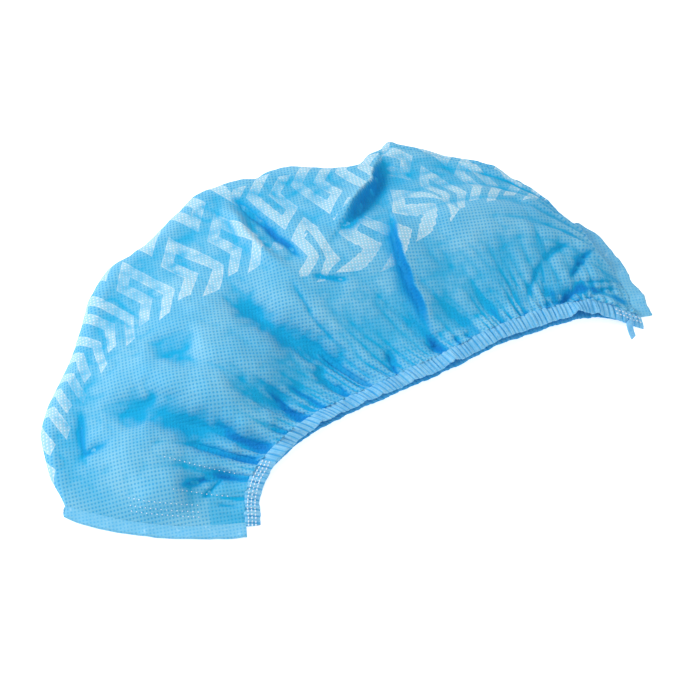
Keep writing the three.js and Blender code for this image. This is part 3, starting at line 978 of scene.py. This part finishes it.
def add_light(name, place, aim, size, power, color=(1, 1, 1)):
    data = bpy.data.lights.new(name, "AREA")
    data.shape, data.size, data.energy, data.color = "DISK", size, power, color
    light = bpy.data.objects.new(name, data)
    light.location = place
    towards = np.array(aim) - np.array(place)
    flat = math.hypot(towards[0], towards[1])
    light.rotation_euler = (math.atan2(flat, -towards[2]), 0, math.atan2(towards[1], towards[0]) - math.pi / 2)
    bpy.context.scene.collection.objects.link(light)


def add_surroundings():
    world = bpy.data.worlds.new("studio")
    world.use_nodes = True
    background = world.node_tree.nodes["Background"]
    background.inputs["Color"].default_value = (1, 1, 1, 1)
    background.inputs["Strength"].default_value = 0.88
    bpy.context.scene.world = world
    bpy.context.scene.view_settings.view_transform = "Standard"
    add_light("key", (-0.55, 0.45, 0.55), (0, 0, 0), 0.3, 5.2)
    add_light("fill", (0.5, -0.6, 0.7), (0, 0, 0), 0.9, 0.8)
    work = bmesh.new()
    bmesh.ops.create_grid(work, x_segments=1, y_segments=1, size=3.0)
    mesh = bpy.data.meshes.new("floor")
    work.to_mesh(mesh)
    work.free()
    floor = bpy.data.objects.new("floor", mesh)
    floor.location.z = -0.0001
    bpy.context.scene.collection.objects.link(floor)
    material, tree = new_material("pale_floor")
    shader = node(tree, "ShaderNodeBsdfPrincipled", {}, {
        "Base Color": (0.9, 0.9, 0.9, 1), "Roughness": 0.9, "Specular IOR Level": 0.0,
        "Emission Color": (1, 1, 1, 1), "Emission Strength": 0.55})
    node(tree, "ShaderNodeOutputMaterial", {}, {"Surface": shader})
    floor.data.materials.append(material)
    return floor


# ---------------------------------------------------------------- the object
add_camera()
floor = add_surroundings()
grid = sheet_grid()

cover = cover_piece(grid)
cover.data.materials.append(nonwoven_material())
upper_band = hem_sections(grid, 1, 1100)
hem = hem_piece(upper_band, hem_sections(grid, -1, 420))
hem.data.materials.append(hem_material())
weld = weld_material()
heel_seam = seam_piece("heel_weld", grid, 0, HEEL_SEAM_WIDTH, 0.04, 61)
heel_seam.data.materials.append(weld)
toe_seam = seam_piece("toe_weld", grid, 1, TOE_SEAM_WIDTH, 0.2, 71)
toe_seam.data.materials.append(weld)

tab = tab_piece(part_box("elastic_tab"))
tab.data.materials.append(hem_material())

thread = stitch_tree(thread_material())
heel_rows = [hem_top_route(upper_band[0], 0.0, 0.115, over) for over in (-1.9, -0.4, 1.1)]
toe_rows = [hem_top_route(upper_band[0], 0.955, 0.998, over) for over in (-1.2, 0.6)]
stitches = stitched_piece("hem_stitches", heel_rows + toe_rows, thread, {
    "Spacing": 1.5, "Stitch Length": 1.05, "Stitch Width": 0.6, "Stitch Height": 0.35})
dot_routes = [
    surface_route(grid, [(0.085, 0.66 + 0.03 * i) for i in range(10)], 0.05),
    surface_route(grid, [(0.045, 0.70 + 0.025 * i) for i in range(10)], 0.05),
    *[surface_route(grid, [(0.012 + 0.008 * row, 0.50 + 0.03 * i) for i in range(11)], 0.05) for row in range(3)],
]
weld_dots = stitched_piece("weld_dots", dot_routes, thread, {
    "Spacing": 2.1, "Stitch Length": 0.55, "Stitch Width": 0.5, "Stitch Height": 0.2})
for extra, slot in ((stitches, "elastic_hem"), (weld_dots, "nonwoven")):
    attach(extra, "root")

for piece, cad_node, slot in (
    (cover, "cover", "nonwoven"),
    (hem, "opening_hem", "elastic_hem"),
    (tab, "elastic_tab", "elastic_hem"),
    (heel_seam, "heel_seam", "welded_seam"),
    (toe_seam, "toe_seam", "welded_seam"),
):
    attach(piece, "root")
    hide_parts(cad_node)
